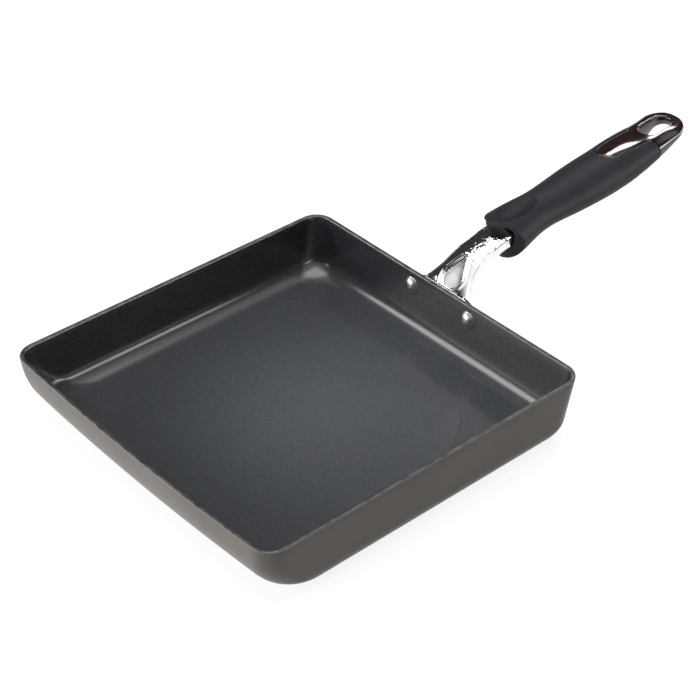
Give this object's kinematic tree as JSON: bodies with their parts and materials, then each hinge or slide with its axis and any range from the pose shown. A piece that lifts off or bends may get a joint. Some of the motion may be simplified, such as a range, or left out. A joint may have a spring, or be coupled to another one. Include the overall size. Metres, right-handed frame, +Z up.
{
  "type": "tamagoyaki pan",
  "caption": "Square frying pan for rolled omelettes, with a curved front wall, a disc pressed into its base, and a moulded handle screwed to a riveted bracket.",
  "frame": {"origin": "centre of the flat underside: midway between the side walls, and midway between the handle wall and the ends of the front rim", "axes": "+Z up, +Y from the pan towards the handle's hanging slot, X across the pan"},
  "size_m": [0.18, 0.3404, 0.0661],
  "materials": {
    "coated_aluminium": "bronze stove enamel outside, dark grey non-stick coating inside",
    "disc_steel": "turned, bare",
    "rivet_metal": "satin, bare heads",
    "bracket_chrome": "mirror plating",
    "fastener_steel": "zinc plated",
    "grip_black": "matt moulded phenolic resin",
    "cap_brown": "high gloss"
  },
  "bodies": {
    "root": {"pan_body": "coated_aluminium", "induction_disc": "disc_steel", "rivets": "rivet_metal", "handle_bracket": "bracket_chrome", "tang_nut": "fastener_steel", "grip": "grip_black", "end_cap": "cap_brown", "handle_screw": "fastener_steel", "flat_washer": "fastener_steel", "spring_washer": "fastener_steel"}
  },
  "joints": []
}
